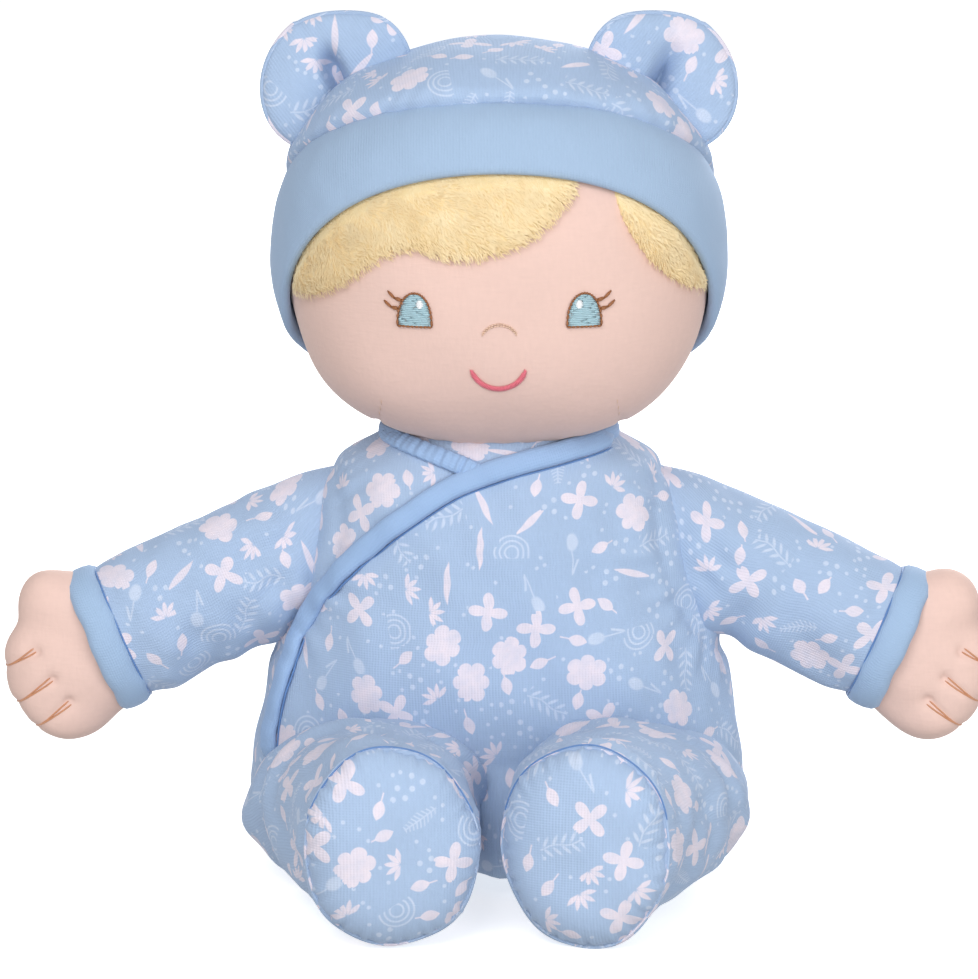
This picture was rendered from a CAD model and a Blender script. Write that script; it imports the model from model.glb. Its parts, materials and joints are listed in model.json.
"""Looks of the seated plush baby doll: metres, +Z up, the doll looks along -Y.

Shapes are written in millimetres and turned into metres when a mesh is made. A piece
of the doll's own left is at +X; its right-hand twin is mirrored.
"""

import json
import math

import bpy
import numpy as np
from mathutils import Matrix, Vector
from mathutils.bvhtree import BVHTree


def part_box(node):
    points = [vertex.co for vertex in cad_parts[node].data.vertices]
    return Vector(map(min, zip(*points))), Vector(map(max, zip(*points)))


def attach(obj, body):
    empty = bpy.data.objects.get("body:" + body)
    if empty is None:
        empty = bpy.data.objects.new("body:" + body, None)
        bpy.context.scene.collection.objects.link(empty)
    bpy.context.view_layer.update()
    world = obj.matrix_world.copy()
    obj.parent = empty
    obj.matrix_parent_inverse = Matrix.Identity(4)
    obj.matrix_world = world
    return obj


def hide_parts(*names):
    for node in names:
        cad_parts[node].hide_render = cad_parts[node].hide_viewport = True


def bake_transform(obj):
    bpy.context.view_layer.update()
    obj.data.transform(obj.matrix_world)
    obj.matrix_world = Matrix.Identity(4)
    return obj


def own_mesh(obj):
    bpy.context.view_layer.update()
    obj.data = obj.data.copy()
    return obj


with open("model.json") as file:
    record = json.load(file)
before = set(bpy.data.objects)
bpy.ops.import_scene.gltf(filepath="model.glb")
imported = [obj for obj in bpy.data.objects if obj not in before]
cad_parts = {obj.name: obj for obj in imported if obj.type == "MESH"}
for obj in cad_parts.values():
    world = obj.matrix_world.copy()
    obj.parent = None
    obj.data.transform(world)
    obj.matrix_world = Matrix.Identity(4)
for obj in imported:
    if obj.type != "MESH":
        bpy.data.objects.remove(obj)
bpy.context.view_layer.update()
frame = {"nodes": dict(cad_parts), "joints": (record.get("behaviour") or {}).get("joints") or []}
MM = 0.001
TAU = 2 * math.pi
SIDES = {"left": 1, "right": -1}
TO_FRONT = np.array([0.0, -1.0, 0.0])


# ---------------------------------------------------------------- places from the CAD
def box_mm(node):
    """The low and high corners of a CAD node."""
    low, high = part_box(node)
    return np.array(low) / MM, np.array(high) / MM


def middle_mm(node):
    low, high = box_mm(node)
    return (low + high) / 2


def pivot_mm(joint):
    """A joint's place."""
    found = [j for j in frame["joints"] if j["name"] == joint]
    return np.array(found[0]["pos_m"]) / MM


HEAD = middle_mm("head_filling")
HEAD_RADII = np.array([60.0, 50.0, 54.0])
HEAD[2] = box_mm("face_panel")[1][2] - HEAD_RADII[2]
HEAD_POWER = 2.18  # 2 is an ellipsoid, and more is boxier
SHOULDER = pivot_mm("shoulder_raise_left")
HIP = pivot_mm("hip_lift_left")
EAR_ROOT = pivot_mm("ear_fold_left")


# ---------------------------------------------------------------- arrays of points
def placed(origin, ways, distances):
    """The points at distances from an origin along three directions."""
    return origin + sum(np.asarray(d)[..., None] * way for d, way in zip(distances, ways))


def full_turn(count):
    """Equal turns around a full circle."""
    return np.linspace(0, TAU, count, endpoint=False)


def closed(flat):
    """Cloth coordinates with their first column repeated at the end."""
    return np.concatenate([flat, flat[:, :1]], 1)


def curve(x, xs, ys):
    """A smooth curve through (xs, ys), read at x."""
    xs, ys = np.array(xs, float), np.array(ys, float)
    slopes = np.gradient(ys, xs)
    x = np.clip(x, xs[0], xs[-1])
    i = np.clip(np.searchsorted(xs, x) - 1, 0, len(xs) - 2)
    span = xs[i + 1] - xs[i]
    t = (x - xs[i]) / span
    a = (1 + 2 * t) * (1 - t) ** 2 * ys[i] + t * (1 - t) ** 2 * span * slopes[i]
    b = t**2 * (3 - 2 * t) * ys[i + 1] + t**2 * (t - 1) * span * slopes[i + 1]
    return a + b


def bump(distance, width):
    """A bell of height 1 around 0."""
    return np.exp(-((distance / width) ** 2))


def ramp(x, low, high):
    """Goes smoothly from 0 at low to 1 at high."""
    t = np.clip((x - low) / (high - low), 0, 1)
    return t * t * (3 - 2 * t)


def lumps(points, wavelength, seed):
    """Smooth noise from -1 to 1 at points, made of plane waves."""
    count = 14
    rng = np.random.default_rng(seed)
    ways = rng.normal(size=(count, 3))
    ways /= np.linalg.norm(ways, axis=1)[:, None]
    waves = rng.uniform(0.7, 1.5, count) * TAU / wavelength
    phases = rng.uniform(0, TAU, count)
    return np.sin(points @ (ways * waves[:, None]).T + phases).sum(-1) / math.sqrt(count)


def grid_normals(points, wrap):
    """Normals of a grid of points, pointing away from its middle."""
    if wrap:
        across = np.roll(points, -1, 1) - np.roll(points, 1, 1)
    else:
        across = np.gradient(points, axis=1)
    along = np.gradient(points, axis=0)
    normals = np.cross(across, along)
    normals /= np.linalg.norm(normals, axis=-1)[..., None] + 1e-9
    outwards = points - points.reshape(-1, 3).mean(0)
    if (normals * outwards).sum() < 0:
        normals = -normals
    return normals


def push(points, distance):
    """A closed grid moved along its normals by distance."""
    return points + grid_normals(points, True) * np.asarray(distance)[..., None]


def arc_uv(points, wrap, start=(0.0, 0.0)):
    """Flat cloth coordinates in mm: across the grid's columns, centred, and along it."""
    ring = np.concatenate([points, points[:, :1]], 1) if wrap else points
    steps = np.linalg.norm(np.diff(ring, axis=1), axis=-1)
    u = np.concatenate([np.zeros((len(ring), 1)), np.cumsum(steps, 1)], 1)
    u -= u[:, -1:] / 2
    rise = np.linalg.norm(np.diff(ring, axis=0), axis=-1).mean(1)
    v = np.concatenate([[0], np.cumsum(rise)])
    v = np.repeat(v[:, None], ring.shape[1], 1)
    return np.stack([u + start[0], v + start[1]], -1)


# ---------------------------------------------------------------- meshes
class Shape:
    """The points and faces of one mesh, gathered block by block.

    A block is (faces, cloth coordinates of their corners, material slot).
    """

    def __init__(self):
        self.points, self.blocks = [], []
        self.count = 0

    def add(self, points, faces, uv, slot=0):
        self.points.append(points)
        self.blocks.append((np.asarray(faces) + self.count, uv, slot))
        self.count += len(points)

    def grid(self, points, wrap=False, uv=None, slot=0, caps=(False, False)):
        rows, cols = points.shape[:2]
        uv = arc_uv(points, wrap) if uv is None else uv
        last = cols if wrap else cols - 1
        r, c = np.meshgrid(np.arange(rows - 1), np.arange(last), indexing="ij")
        r, c = r.ravel(), c.ravel()
        c2 = (c + 1) % cols
        quads = np.stack([r * cols + c, r * cols + c2, (r + 1) * cols + c2, (r + 1) * cols + c], 1)
        corners = np.stack([uv[r, c], uv[r, c + 1], uv[r + 1, c + 1], uv[r + 1, c]], 1)
        start = self.count
        self.add(points.reshape(-1, 3), quads, corners, slot)
        for row, wanted in zip((0, rows - 1), caps):
            if wanted:
                self._cap(points[row], uv[row], start + row * cols, row > 0, slot)
        return self

    def _cap(self, ring, uv, start, last, slot):
        """A fan from the middle of a grid's first or last row."""
        c = np.arange(len(ring))
        a, b = start + c, start + (c + 1) % len(ring)
        hub = np.full(len(ring), self.count)
        fan = np.stack([a, b, hub] if last else [b, a, hub], 1)
        self.points.append(ring.mean(0)[None])
        self.blocks.append((fan, np.repeat(uv[c][:, None], 3, 1), slot))
        self.count += 1

    def drop(self, unwanted):
        """Removes the faces whose middle satisfies unwanted(points)."""
        points = np.concatenate(self.points)
        kept = []
        for faces, uv, slot in self.blocks:
            keep = ~unwanted(points[faces].mean(1))
            kept.append((faces[keep], uv[keep], slot))
        self.blocks = kept

    def build(self, name, materials, side=1):
        """The mesh object; a side of -1 mirrors it across X."""
        turned = -1 if side < 0 else 1
        faces = [block[0][:, ::turned] for block in self.blocks]
        corners = [block[1][:, ::turned] for block in self.blocks]
        sizes = np.concatenate([np.full(len(f), f.shape[1]) for f in faces])
        slots = np.concatenate([np.full(len(f), b[2]) for f, b in zip(faces, self.blocks)])
        mesh = bpy.data.meshes.new(name)
        points = np.concatenate(self.points) * MM * [side, 1, 1]
        mesh.vertices.add(len(points))
        mesh.vertices.foreach_set("co", points.astype(np.float32).ravel())
        mesh.loops.add(int(sizes.sum()))
        mesh.loops.foreach_set("vertex_index", np.concatenate([f.ravel() for f in faces]))
        mesh.polygons.add(len(sizes))
        mesh.polygons.foreach_set("loop_start", np.cumsum(sizes) - sizes)
        mesh.polygons.foreach_set("material_index", slots)
        mesh.update(calc_edges=True)
        for material in materials:
            mesh.materials.append(material)
        mesh.polygons.foreach_set("use_smooth", np.ones(len(sizes), bool))
        layer = mesh.uv_layers.new(name="cloth")
        flat = np.concatenate([c.reshape(-1, 2) for c in corners]) * MM
        layer.data.foreach_set("uv", flat.astype(np.float32).ravel())
        obj = bpy.data.objects.new(name, mesh)
        bpy.context.scene.collection.objects.link(obj)
        return obj


def tube(points, radius, sides=6):
    """A grid of points around a line of points, thinner at its two ends."""
    points = np.asarray(points, float)
    ways = np.gradient(points, axis=0)
    ways /= np.linalg.norm(ways, axis=1)[:, None] + 1e-9
    side = np.cross(ways, TO_FRONT)
    side /= np.linalg.norm(side, axis=-1)[:, None] + 1e-9
    up = np.cross(side, ways)
    turn = np.arange(sides) / sides * TAU
    ends = np.ones(len(points))
    ends[0] = ends[-1] = 0.45
    ring = side[:, None] * np.cos(turn)[None, :, None]
    ring = ring + up[:, None] * np.sin(turn)[None, :, None]
    return points[:, None] + ring * (radius * ends)[:, None, None]


def finish_piece(obj, body, replaces):
    """Names a piece's material slot, the body it rides and the CAD nodes it stands for."""
    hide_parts(*replaces)
    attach(obj, body)


def finish_bent(obj, replaces, ends, side):
    """A printed, stuffed piece that bends from one body to the other between two points."""
    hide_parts(*replaces)
    start, end = (tuple(point * MM * [side, 1, 1]) for point in ends)
    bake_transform(obj)


def surface_of(obj):
    """Finds points on a finished mesh, in mm."""
    vertices = [v.co / MM for v in obj.data.vertices]
    polygons = [tuple(p.vertices) for p in obj.data.polygons]
    return BVHTree.FromPolygons(vertices, polygons)


def on_front(tree, x, z, lift=0.0):
    """The first point of a mesh that a line along +Y meets, lifted off it, and its normal."""
    hit, normal, _, _ = tree.ray_cast(Vector((x, -300, z)), Vector((0, 1, 0)))
    if hit is None:
        hit, normal, _, _ = tree.find_nearest(Vector((x, -60, z)))
    if normal.y > 0:
        normal = -normal
    return np.array(hit + normal * lift), np.array(normal)


# ---------------------------------------------------------------- shader arithmetic
class Value:
    """A number in a shader, that Python operators build into math nodes."""

    def __init__(self, tree, socket):
        self.tree, self.socket = tree, socket

    def _math(self, operation, *others):
        node = self.tree.nodes.new("ShaderNodeMath")
        node.operation = operation
        for i, other in enumerate((self, *others)):
            if isinstance(other, Value):
                self.tree.links.new(other.socket, node.inputs[i])
            else:
                node.inputs[i].default_value = other
        return Value(self.tree, node.outputs[0])

    def __add__(self, other):
        return self._math("ADD", other)

    def __sub__(self, other):
        return self._math("SUBTRACT", other)

    def __mul__(self, other):
        return self._math("MULTIPLY", other)

    def __truediv__(self, other):
        return self._math("DIVIDE", other)

    def __neg__(self):
        return self._math("MULTIPLY", -1.0)

    def abs(self):
        return self._math("ABSOLUTE")

    def power(self, exponent):
        return self._math("POWER", exponent)

    def cos(self):
        return self._math("COSINE")

    def sin(self):
        return self._math("SINE")

    def least(self, other):
        return self._math("MINIMUM", other)

    def most(self, other):
        return self._math("MAXIMUM", other)

    def wrapped(self, period):
        """Folds the number into the span from minus to plus half a period."""
        return (self + period / 2)._math("FLOORED_MODULO", period) - period / 2

    def near(self, number):
        return self._math("COMPARE", number, 0.5)

    def length(self, other):
        return (self * self + other * other)._math("SQRT")

    def angle(self, other):
        return other._math("ARCTAN2", self)

    def inside(self, soft=0.16):
        """1 where this signed distance is below 0, and 0 where it is above."""
        node = self * (-0.5 / soft) + 0.5
        node.socket.node.use_clamp = True
        return node


def new_material(name):
    material = bpy.data.materials.new(name)
    material.use_nodes = True
    tree = material.node_tree
    return material, tree, tree.nodes["Principled BSDF"]


def set_cloth(shader, roughness, sheen, tint=(1, 1, 1, 1), specular=0.2):
    shader.inputs["Roughness"].default_value = roughness
    shader.inputs["Sheen Weight"].default_value = sheen
    shader.inputs["Sheen Roughness"].default_value = 0.45
    shader.inputs["Sheen Tint"].default_value = tint
    shader.inputs["Specular IOR Level"].default_value = specular


def srgb(red, green, blue):
    """A colour written in 8-bit sRGB, as linear RGBA."""
    return tuple((c / 255) ** 2.2 for c in (red, green, blue)) + (1.0,)


def scaled(colour, factor):
    return tuple(factor * c for c in colour[:3]) + (1.0,)


def link(tree, start, end):
    tree.links.new(start, end)


def cloth_place(tree):
    """The cloth coordinates in mm, as two Values."""
    node = tree.nodes.new("ShaderNodeUVMap")
    node.uv_map = "cloth"
    parts = tree.nodes.new("ShaderNodeSeparateXYZ")
    link(tree, node.outputs[0], parts.inputs[0])
    u, v = Value(tree, parts.outputs[0]), Value(tree, parts.outputs[1])
    return u * (1 / MM), v * (1 / MM)


def noise(tree, scale, detail, stretch=None):
    """Noise from 0 to 1 of the place in the piece, in metres, which stretch multiplies."""
    node = tree.nodes.new("ShaderNodeTexNoise")
    node.inputs["Scale"].default_value = scale
    node.inputs["Detail"].default_value = detail
    place = tree.nodes.new("ShaderNodeTexCoord")
    if stretch is None:
        link(tree, place.outputs["Object"], node.inputs["Vector"])
    else:
        mapping = tree.nodes.new("ShaderNodeMapping")
        mapping.inputs["Scale"].default_value = stretch
        link(tree, place.outputs["Object"], mapping.inputs["Vector"])
        link(tree, mapping.outputs[0], node.inputs["Vector"])
    return Value(tree, node.outputs[0])


def mixed(tree, factor, first, second):
    """The colour socket between two colours or sockets."""
    node = tree.nodes.new("ShaderNodeMix")
    node.data_type = "RGBA"
    sockets = [s for s in node.inputs if s.type == "RGBA"]
    link(tree, factor.socket, node.inputs[0])
    for socket, colour in zip(sockets, (first, second)):
        if isinstance(colour, tuple):
            socket.default_value = colour
        else:
            link(tree, colour, socket)
    return [s for s in node.outputs if s.type == "RGBA"][0]


def roughen(tree, shader, height, strength, distance):
    node = tree.nodes.new("ShaderNodeBump")
    node.inputs["Strength"].default_value = strength
    node.inputs["Distance"].default_value = distance
    link(tree, height.socket, node.inputs["Height"])
    link(tree, node.outputs[0], shader.inputs["Normal"])


WALE, COURSE = 0.85, 0.7  # the knit's spacing across and along, in mm


def knit_height(tree):
    """The wales and courses of a fine jersey."""
    u, v = cloth_place(tree)
    wales = (u * (TAU / WALE)).sin()
    courses = (v * (TAU / COURSE)).sin()
    return wales * 0.6 + courses * 0.3 + noise(tree, 900.0, 3.0) * 1.4


# ---------------------------------------------------------------- the print
# Motifs are drawn in mm around their own middle. Each face of a printed piece carries
# its place in the nearest motif, and the motif's kind, in the attribute "motif".
BLOSSOM, STAR, RAINBOW, SPRIG, TULIP, FEATHER, LEAF, BLADE, FAN, DOTS, SPOT = range(11)
MOTIF_RADII = {
    BLOSSOM: 6.2, STAR: 6.0, RAINBOW: 5.8, SPRIG: 6.6, TULIP: 6.6, FEATHER: 5.6,
    LEAF: 4.2, BLADE: 5.6, FAN: 4.4, DOTS: 3.1, SPOT: 1.1,
}  # fmt: skip
SOLID_MOTIFS = (BLOSSOM, STAR, LEAF, BLADE, FAN)
PACKING = 0.78  # the share of its radius that a motif keeps clear of others
MOST_MOTIFS = 20000
PRINT_PLAN = [  # kind, and the cloth area in square mm for each try to place one
    (BLOSSOM, 1400), (STAR, 900), (RAINBOW, 1000), (BLADE, 800), (SPRIG, 420), (TULIP, 420),
    (FAN, 330), (FEATHER, 600), (LEAF, 260), (SPRIG, 200), (FAN, 200), (LEAF, 120),
    (DOTS, 70), (LEAF, 120), (SPOT, 26),
]  # fmt: skip


def motif_distances(x, y):
    """The signed distance to each motif's ink, in mm."""
    r, a = x.length(y), x.angle(y)
    found = {}
    petals = (a * 3.0).cos().abs().power(0.55) * 1.7
    found[BLOSSOM] = r - (petals + (a * 2.0 + 0.6).sin() * 0.45 + 3.9)
    found[STAR] = r - (((a * 2.0).cos().abs().power(1.5)) * 4.0 + 1.6)
    arcs = ((r - 1.9).wrapped(1.45)).abs() - 0.26
    found[RAINBOW] = arcs.most(r - 5.4).most(-r + 1.4).most(-y - 1.6)
    stem = (y + (x * 0.7).sin() * 0.4).abs() - 0.2
    up = y.abs()
    leaf = ((x - up * 0.7).wrapped(2.6) / 0.55).length((up - 1.5) / 1.25) - 1.0
    found[SPRIG] = stem.least(leaf * 0.5).most(x.abs() - 6.2)
    cup = (x / 1.7).length((y - 3.4) / 2.5) - 1.0
    stalk = (x.abs() - 0.2).most(y - 2.0).most(-y - 6.0)
    blade = ((x - (y + 6.0) * 0.35).abs() - 0.35).most(y + 1.5).most(-y - 5.6)
    found[TULIP] = cup.least(stalk).least(blade)
    strokes = ((x - up * 0.5).wrapped(1.15).abs() - 0.2).most(up - 2.2 + x.abs() * 0.25)
    found[FEATHER] = strokes.least(up - 0.2).most(x.abs() - 5.0)
    petiole = (x.abs() - 0.2).most(y + 1.5).most(-y - 5.2)
    found[LEAF] = (x.abs() - (y / 2.8).power(2.0) * -1.6 - 1.6).least(petiole)
    found[BLADE] = (x.abs() - (y / 6.2).power(2.0) * -1.0 - 1.0).most(y.abs() - 6.2)
    ray = (a + TAU / 4).wrapped(TAU / 10) * r
    found[FAN] = (ray.abs() + ((r - 2.6) / 2.2).power(2.0) * 0.7 - 0.7).most(-y + 0.1)
    third = a.wrapped(TAU / 3)
    found[DOTS] = (r * third.cos() - 1.9).length(r * third.sin()) - 0.78
    found[SPOT] = r - 0.55
    return found


def heather(tree):
    """Light and dark yarns of a knit, streaked along its wales, from 0 to 1."""
    u, v = cloth_place(tree)
    place = tree.nodes.new("ShaderNodeCombineXYZ")
    link(tree, (u * 1.5).socket, place.inputs[0])
    link(tree, (v * 0.22).socket, place.inputs[1])
    node = tree.nodes.new("ShaderNodeTexNoise")
    node.inputs["Scale"].default_value = 1.0
    node.inputs["Detail"].default_value = 2.0
    link(tree, place.outputs[0], node.inputs["Vector"])
    return Value(tree, node.outputs[0])


def printed_cloth(name, base, ink, line):
    """Knit with the print: solid motifs in one ink, drawn ones in another."""
    material, tree, shader = new_material(name)
    place = tree.nodes.new("ShaderNodeAttribute")
    place.attribute_name = "motif"
    parts = tree.nodes.new("ShaderNodeSeparateXYZ")
    link(tree, place.outputs["Vector"], parts.inputs[0])
    x, y, kind = (Value(tree, parts.outputs[i]) for i in range(3))
    solid = fine = None
    for motif, distance in motif_distances(x, y).items():
        mask = distance.inside() * kind.near(float(motif))
        if motif in SOLID_MOTIFS:
            solid = mask if solid is None else solid + mask
        else:
            fine = mask if fine is None else fine + mask
    wear = noise(tree, 300.0, 3.0) * 0.7 + 0.5
    wear.socket.node.use_clamp = True
    height = knit_height(tree)
    shade = noise(tree, 18.0, 2.0)
    streak = heather(tree) * 0.6 + shade * 0.4
    cloth = mixed(tree, streak, scaled(base, 0.9), scaled(base, 1.08))
    colour = mixed(tree, fine * 0.85 * wear, cloth, line)
    colour = mixed(tree, solid * wear, colour, ink)
    link(tree, colour, shader.inputs["Base Color"])
    set_cloth(shader, 0.88, 0.35, srgb(205, 220, 245))
    roughen(tree, shader, height, 0.35, 0.00018)
    return material


def scatter_motifs(low, high, seed, fixed):
    """Places of motifs that don't overlap, as rows of (u, v, kind, turn)."""
    rng = np.random.default_rng(seed)
    rows = list(fixed)
    area = float(np.prod(np.array(high) - np.array(low)))
    places, sizes = np.zeros((MOST_MOTIFS, 2)), np.zeros(MOST_MOTIFS)
    for i, (u, v, kind, _) in enumerate(rows):
        places[i], sizes[i] = (u, v), MOTIF_RADII[kind] * PACKING
    for kind, each in PRINT_PLAN:
        for _ in range(int(area / each)):
            u, v = rng.uniform(low, high)
            turn = rng.uniform(0, TAU)
            count, size = len(rows), MOTIF_RADII[kind] * PACKING
            gaps = np.hypot(places[:count, 0] - u, places[:count, 1] - v)
            if (gaps > size + sizes[:count]).all():
                places[count], sizes[count] = (u, v), size
                rows.append((u, v, kind, turn))
    return np.array(rows)


def print_motifs(obj, seed, fixed=()):
    """Writes each corner's place in its face's nearest motif."""
    mesh = obj.data
    count = len(mesh.loops)
    uv = np.zeros(count * 2)
    mesh.uv_layers["cloth"].data.foreach_get("uv", uv)
    uv = uv.reshape(-1, 2) / MM
    starts = np.array([p.loop_start for p in mesh.polygons])
    totals = np.array([p.loop_total for p in mesh.polygons])
    owner = np.repeat(np.arange(len(starts)), totals)
    middles = np.add.reduceat(uv, starts) / totals[:, None]
    motifs = scatter_motifs(uv.min(0) - 3, uv.max(0) + 3, seed, fixed)
    radii = np.array([MOTIF_RADII[int(k)] for k in motifs[:, 2]])
    nearest = np.zeros(len(middles), int)
    for i in range(0, len(middles), 4000):
        gap = np.linalg.norm(middles[i : i + 4000, None] - motifs[None, :, :2], axis=-1)
        nearest[i : i + 4000] = (gap - radii).argmin(1)
    chosen = motifs[nearest[owner]]
    offset = uv - chosen[:, :2]
    c, s = np.cos(chosen[:, 3]), np.sin(chosen[:, 3])
    x = offset[:, 0] * c + offset[:, 1] * s
    y = -offset[:, 0] * s + offset[:, 1] * c
    attribute = mesh.attributes.new("motif", "FLOAT_VECTOR", "CORNER")
    values = np.stack([x, y, chosen[:, 2]], 1).astype(np.float32)
    attribute.data.foreach_set("vector", values.ravel())


# ---------------------------------------------------------------- other materials
def plain_cloth(name, colour, tint=(1, 1, 1, 1)):
    material, tree, shader = new_material(name)
    shade = noise(tree, 30.0, 2.0)
    link(tree, mixed(tree, shade, colour, scaled(colour, 0.93)), shader.inputs["Base Color"])
    set_cloth(shader, 0.88, 0.35, tint)
    roughen(tree, shader, knit_height(tree), 0.3, 0.00018)
    return material


def woven_skin(name, colour):
    material, tree, shader = new_material(name)
    fine = noise(tree, 1.0, 2.0, (900.0, 900.0, 260.0))
    cross = noise(tree, 1.0, 2.0, (260.0, 260.0, 1100.0))
    weave = fine + cross
    link(tree, mixed(tree, weave * 0.5, colour, scaled(colour, 0.9)), shader.inputs["Base Color"])
    set_cloth(shader, 0.85, 0.2, (1.0, 0.93, 0.9, 1))
    roughen(tree, shader, weave, 0.35, 0.00025)
    return material


def pile(name, colour, shadow):
    material, tree, shader = new_material(name)
    streak = noise(tree, 1.0, 3.0, (500.0, 500.0, 140.0))
    patch = noise(tree, 120.0, 2.0)
    mix = (streak + patch) * 0.9 - 0.4
    mix.socket.node.use_clamp = True
    link(tree, mixed(tree, mix, shadow, colour), shader.inputs["Base Color"])
    set_cloth(shader, 0.8, 0.5, (1.0, 0.95, 0.8, 1))
    return material


def thread_material(name, colour):
    material, tree, shader = new_material(name)
    shade = noise(tree, 700.0, 2.0)
    link(tree, mixed(tree, shade, scaled(colour, 0.75), colour), shader.inputs["Base Color"])
    set_cloth(shader, 0.45, 0.1, specular=0.45)
    return material


def plastic(name, colour, roughness=0.45, metallic=0.0):
    material, tree, shader = new_material(name)
    shader.inputs["Base Color"].default_value = colour
    grain = noise(tree, 900.0, 2.0)
    spread = grain * 0.12 + (roughness - 0.06)
    link(tree, spread.socket, shader.inputs["Roughness"])
    shader.inputs["Metallic"].default_value = metallic
    return material


BLUE = srgb(160, 181, 210)
PRINT = printed_cloth("printed_knit", BLUE, srgb(222, 212, 222), srgb(196, 207, 226))
PLAIN = plain_cloth("plain_knit", srgb(157, 180, 207), tint=srgb(210, 225, 250))
PIPING = plain_cloth("piping_knit", srgb(156, 181, 211), tint=srgb(210, 225, 250))
BINDING = plain_cloth("binding_knit", srgb(150, 178, 216), tint=srgb(210, 225, 250))
SKIN = woven_skin("skin_weave", srgb(226, 194, 183))
HAIR = pile("blond_pile", srgb(245, 229, 192), srgb(237, 211, 160))
HAIR_BASE = pile("blond_backing", srgb(241, 220, 174), srgb(227, 199, 144))
IRIS_THREAD = thread_material("iris_thread", srgb(166, 198, 208))
BROWN_THREAD = thread_material("brown_thread", srgb(148, 92, 52))
WHITE_THREAD = thread_material("white_thread", srgb(248, 250, 252))
PINK_THREAD = thread_material("pink_thread", srgb(232, 116, 132))
BEIGE_THREAD = thread_material("beige_thread", srgb(228, 192, 166))
COPPER_THREAD = thread_material("copper_thread", srgb(204, 142, 104))
BLUE_THREAD = thread_material("blue_thread", srgb(96, 134, 190))
LINING = plain_cloth("lining_cloth", srgb(236, 236, 236))


# ---------------------------------------------------------------- torso
def torso_ring(z):
    """Half width, front depth and back depth of the stuffed body at a height."""
    heights = [0, 3, 10, 22, 40, 58, 74, 88, 99, 107, 113, 118, 121.5]
    wide = curve(z, heights, [59, 66, 70.5, 71.5, 69, 64, 59, 55, 52, 49, 44.5, 35.5, 29.8])
    front = curve(z, heights, [33, 38, 41, 42, 42.5, 42.5, 40.5, 38, 35, 32.5, 30, 27.5, 25.5])
    back = curve(z, heights, [32, 36.5, 39.5, 40.5, 41, 41.5, 40, 36.5, 32.5, 29.5, 27.5, 25.5, 23.5])
    return wide, front, back


def torso_points():
    """The body's rings, with the fullness between the legs."""
    rows, cols = 150, 240
    z = np.concatenate([[0.8], np.linspace(1.6, 121.5, rows)])[:, None]
    turn = np.linspace(-math.pi, math.pi, cols, endpoint=False)[None]
    wide, front, back = torso_ring(z)
    depth = np.where(np.cos(turn) > 0, front, back)
    sin, cos = np.sin(turn), np.cos(turn)
    power = 0.94  # below 1 the section is a little boxy
    x = wide * np.sign(sin) * np.abs(sin) ** power
    y = -depth * np.sign(cos) * np.abs(cos) ** power
    crotch = 27.0 * bump(x, 13) * ramp(z, 0.6, 6) * ramp(-z, -32, -8) * ramp(cos, 0, 0.5)
    return np.stack([x, y - crotch, np.broadcast_to(z, x.shape)], -1)


def shaped_torso(points):
    """Stuffed lumps, the tuck under the wrap edge and the pull at each armhole."""
    x, y, z = points[..., 0], points[..., 1], points[..., 2]
    lift = 0.9 * lumps(points, 46, 11) + 0.35 * lumps(points, 17, 12)
    for side in SIDES.values():
        gap = armhole_gap(points, side)
        along = np.arctan2(z - 83, (y + 1) * 1.3)
        pucker = 0.5 * np.sin(along * 21 + 1.7 * side) + 0.5 * np.sin(along * 34 + side)
        lift = lift - 1.1 * bump(gap, 2.6) + 0.45 * pucker * bump(gap - 5, 6)
    lower = ramp(-z, -26, -4)
    lift = lift + lower * 0.8 * np.sin(np.arctan2(y, x) * 17 + 2 * lumps(points, 40, 13))
    lift = lift * ramp(z, 0.5, 9) * (1 - 0.8 * ramp(z, 106, 116))
    return push(points, lift)


def armhole_gap(points, side):
    """The distance of torso points from the seam around an arm."""
    x, y, z = points[..., 0] * side, points[..., 1], points[..., 2]
    ring = np.hypot((z - 83) / 27.0, (y + 2) / 20.0)
    return np.where(x > 20, (ring - 1) * 22, 99)


OPENING = (20.0, 31.0, 63.0)  # the back opening: half width, lower and upper end
BOWL = ((0.95, 0.3), (0.88, -0.6), (0.78, -2.0), (0.6, -3.6), (0.35, -4.6), (0.1, -4.8))


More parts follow.
